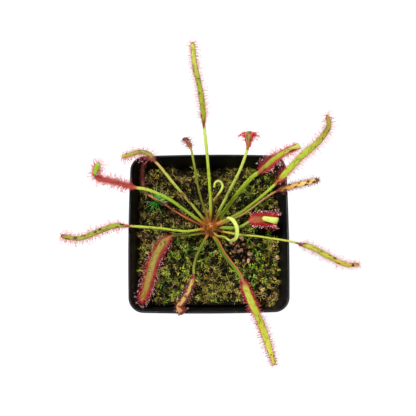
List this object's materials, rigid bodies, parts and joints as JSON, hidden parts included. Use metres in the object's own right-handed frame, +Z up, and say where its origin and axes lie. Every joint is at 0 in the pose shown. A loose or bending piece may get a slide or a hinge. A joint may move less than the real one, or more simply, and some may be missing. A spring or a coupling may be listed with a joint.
{
  "type": "potted sundew",
  "caption": "Potted Cape sundew: strap leaves with tentacles round a low crown, over mossy soil in a square tapered nursery pot.",
  "frame": {"origin": "centre of the pot's flat base", "axes": "+Z up, +Y towards the back of the pot, +X to the right seen from the front"},
  "size_m": [0.1692, 0.1764, 0.1204],
  "materials": {
    "pot_plastic": "thin black moulded plastic, satin, with dust and faint scuffs",
    "soil": "damp dark peat with grit",
    "moss": "short mottled moss, olive to brown",
    "haircap": "dark green needle moss",
    "bark": "dry bark and twig scraps",
    "crown": "red-brown crown with papery stipules",
    "green_leaf": "smooth yellow-green leaf with red gland-tipped tentacles",
    "red_leaf": "leaf with its dense red tentacled face showing",
    "old_leaf": "dying leaf, orange to brown, with dark spots",
    "young_leaf": "pale green leaf still unrolling"
  },
  "bodies": {
    "root": {"pot": "pot_plastic", "soil": "soil", "moss": "moss", "haircap_moss": "haircap", "bark_chip": "bark", "bark_chip_pale": "bark", "twig": "bark", "crown": "crown", "leaf_back_tall": "green_leaf", "leaf_back_left_short": "old_leaf", "leaf_back_right_hooked": "red_leaf", "leaf_right_upper": "green_leaf", "leaf_right_long": "green_leaf", "leaf_right_withered": "old_leaf", "leaf_right_folded": "red_leaf", "leaf_right_thin": "green_leaf", "leaf_front_right": "green_leaf", "leaf_front_spotted": "old_leaf", "leaf_left_low": "green_leaf", "leaf_left_long": "green_leaf", "leaf_left_upper_red": "red_leaf", "leaf_back_left_arching": "green_leaf", "leaf_left_withered": "old_leaf", "young_leaf_back": "young_leaf", "young_leaf_front": "young_leaf"}
  },
  "joints": []
}
